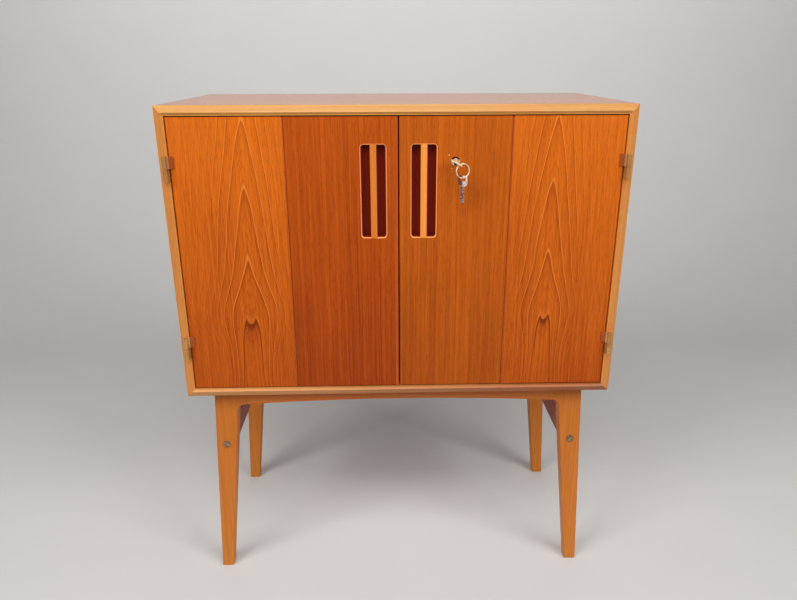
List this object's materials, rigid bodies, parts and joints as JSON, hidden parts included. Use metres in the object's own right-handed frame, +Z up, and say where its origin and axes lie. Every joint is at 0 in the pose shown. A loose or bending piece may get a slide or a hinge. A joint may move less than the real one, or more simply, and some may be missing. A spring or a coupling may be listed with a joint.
{
  "type": "folding door cabinet",
  "caption": "Wooden cabinet on splayed legs, closed by folding doors with slotted handles, a key lock that drives rods, and a shelf inside.",
  "frame": {"origin": "on the floor, under the middle of the whole cabinet", "axes": "+Z up, the doors face -Y, +X is to the right seen from the front"},
  "size_m": [0.75, 0.4056, 0.884],
  "materials": {
    "teak_panel": "oiled, satin",
    "back_board": "matt veneered board",
    "lipping_wood": "oiled, satin",
    "left_outer_veneer": "oiled, satin",
    "right_outer_veneer": "oiled, satin",
    "left_inner_veneer": "oiled, satin",
    "right_inner_veneer": "oiled, satin",
    "strip_wood": "oiled, satin",
    "bar_wood": "oiled, satin",
    "leg_wood": "oiled, satin",
    "apron_wood": "oiled, satin",
    "stretcher_wood": "oiled, satin",
    "plain_wood": "bare",
    "hinge_brass": "dulled",
    "pin_steel": "drawn",
    "lock_nickel": "worn nickel plate",
    "key_brass": "worn",
    "spare_key_nickel": "worn nickel plate",
    "ring_steel": "worn nickel plate",
    "bolt_bronze": "darkened",
    "fitting_steel": "zinc plated"
  },
  "bodies": {
    "carcase": {"apron_tenons": "plain_wood", "back_panel": "back_board", "barrel_nuts": "fitting_steel", "base_screws": "fitting_steel", "bottom_lipping": "lipping_wood", "bottom_panel": "teak_panel", "cross_bolts": "bolt_bronze", "door_stops": "plain_wood", "front_apron": "apron_wood", "front_left_leg": "leg_wood", "front_right_leg": "leg_wood", "hinge_pins": "pin_steel", "left_lipping": "lipping_wood", "left_side_panel": "teak_panel", "left_stretcher": "stretcher_wood", "lower_left_hinge_frame_half": "hinge_brass", "lower_right_hinge_frame_half": "hinge_brass", "rear_apron": "apron_wood", "rear_left_leg": "leg_wood", "rear_right_leg": "leg_wood", "right_lipping": "lipping_wood", "right_side_panel": "teak_panel", "right_stretcher": "stretcher_wood", "shelf": "teak_panel", "shelf_pegs": "plain_wood", "strike_plates": "fitting_steel", "top_lipping": "lipping_wood", "top_panel": "teak_panel", "upper_left_hinge_frame_half": "hinge_brass", "upper_right_hinge_frame_half": "hinge_brass"},
    "left_outer_door": {"left_outer_leaf": "left_outer_veneer", "lower_left_hinge_door_half": "hinge_brass", "upper_left_hinge_door_half": "hinge_brass", "left_fold_hinge_outer_halves": "hinge_brass", "left_fold_pins": "pin_steel"},
    "right_outer_door": {"right_outer_leaf": "right_outer_veneer", "lower_right_hinge_door_half": "hinge_brass", "upper_right_hinge_door_half": "hinge_brass", "right_fold_hinge_outer_halves": "hinge_brass", "right_fold_pins": "pin_steel"},
    "left_inner_door": {"left_inner_leaf": "left_inner_veneer", "left_meeting_strip": "strip_wood", "left_handle_bar": "bar_wood", "left_fold_hinge_inner_halves": "hinge_brass", "upper_bolt_guide": "fitting_steel", "lower_bolt_guide": "fitting_steel"},
    "right_inner_door": {"right_inner_leaf": "right_inner_veneer", "right_handle_bar": "bar_wood", "right_fold_hinge_inner_halves": "hinge_brass", "lock_housing": "lock_nickel", "lock_case": "fitting_steel", "rod_guides": "fitting_steel"},
    "plug": {"lock_plug": "lock_nickel", "key": "key_brass"},
    "upper_rod": {"upper_lock_rod": "fitting_steel"},
    "lower_rod": {"lower_lock_rod": "fitting_steel"},
    "ring": {"key_ring": "ring_steel"},
    "hanging_key": {"spare_key": "spare_key_nickel"},
    "upper_bolt": {"upper_slide_bolt": "fitting_steel"},
    "lower_bolt": {"lower_slide_bolt": "fitting_steel"}
  },
  "joints": [
    {"name": "left_door", "type": "hinge", "parent": "carcase", "child": "left_outer_door", "pos_m": [-0.364, -0.18076, 0.6375], "axis": [0, 0, -1], "range_deg": [0, 86]},
    {"name": "left_fold", "type": "hinge", "parent": "left_outer_door", "child": "left_inner_door", "pos_m": [-0.17972, -0.15696, 0.6375], "axis": [0, 0, 1], "range_deg": [0, 172]},
    {"name": "right_door", "type": "hinge", "parent": "carcase", "child": "right_outer_door", "pos_m": [0.364, -0.18076, 0.6375], "axis": [0, 0, 1], "range_deg": [0, 86]},
    {"name": "right_fold", "type": "hinge", "parent": "right_outer_door", "child": "right_inner_door", "pos_m": [0.17972, -0.15696, 0.6375], "axis": [0, 0, -1], "range_deg": [0, 172]},
    {"name": "lock_turn", "type": "hinge", "parent": "right_inner_door", "child": "plug", "pos_m": [0.08986, -0.17296, 0.798], "axis": [0, -1, 0], "range_deg": [0, 90]},
    {"name": "upper_rod_slide", "type": "slide", "parent": "right_inner_door", "child": "upper_rod", "axis": [0, 0, 1], "range_m": [0, 0.00849]},
    {"name": "lower_rod_slide", "type": "slide", "parent": "right_inner_door", "child": "lower_rod", "axis": [0, 0, -1], "range_m": [0, 0.00849]},
    {"name": "ring_swing", "type": "hinge", "parent": "plug", "child": "ring", "pos_m": [0.0974, -0.19476, 0.79513], "axis": [0, -1, 0], "range_deg": [-10, 30]},
    {"name": "hanging_key_swing", "type": "hinge", "parent": "ring", "child": "hanging_key", "pos_m": [0.09975, -0.1939, 0.77466], "axis": [-0.9397, -0.342, 0], "range_deg": [-10, 45]},
    {"name": "upper_bolt_slide", "type": "slide", "parent": "left_inner_door", "child": "upper_bolt", "axis": [0, 0, 1], "range_m": [0, 0.008]},
    {"name": "lower_bolt_slide", "type": "slide", "parent": "left_inner_door", "child": "lower_bolt", "axis": [0, 0, -1], "range_m": [0, 0.008]}
  ],
  "couplings": [
    {"joint": "left_fold", "follows": "left_door", "ratio": 2},
    {"joint": "right_fold", "follows": "right_door", "ratio": 2},
    {"joint": "upper_rod_slide", "follows": "lower_rod_slide", "ratio": 1},
    {"joint": "lock_turn", "follows": "lower_rod_slide", "rad_per_m": 185.1}
  ]
}
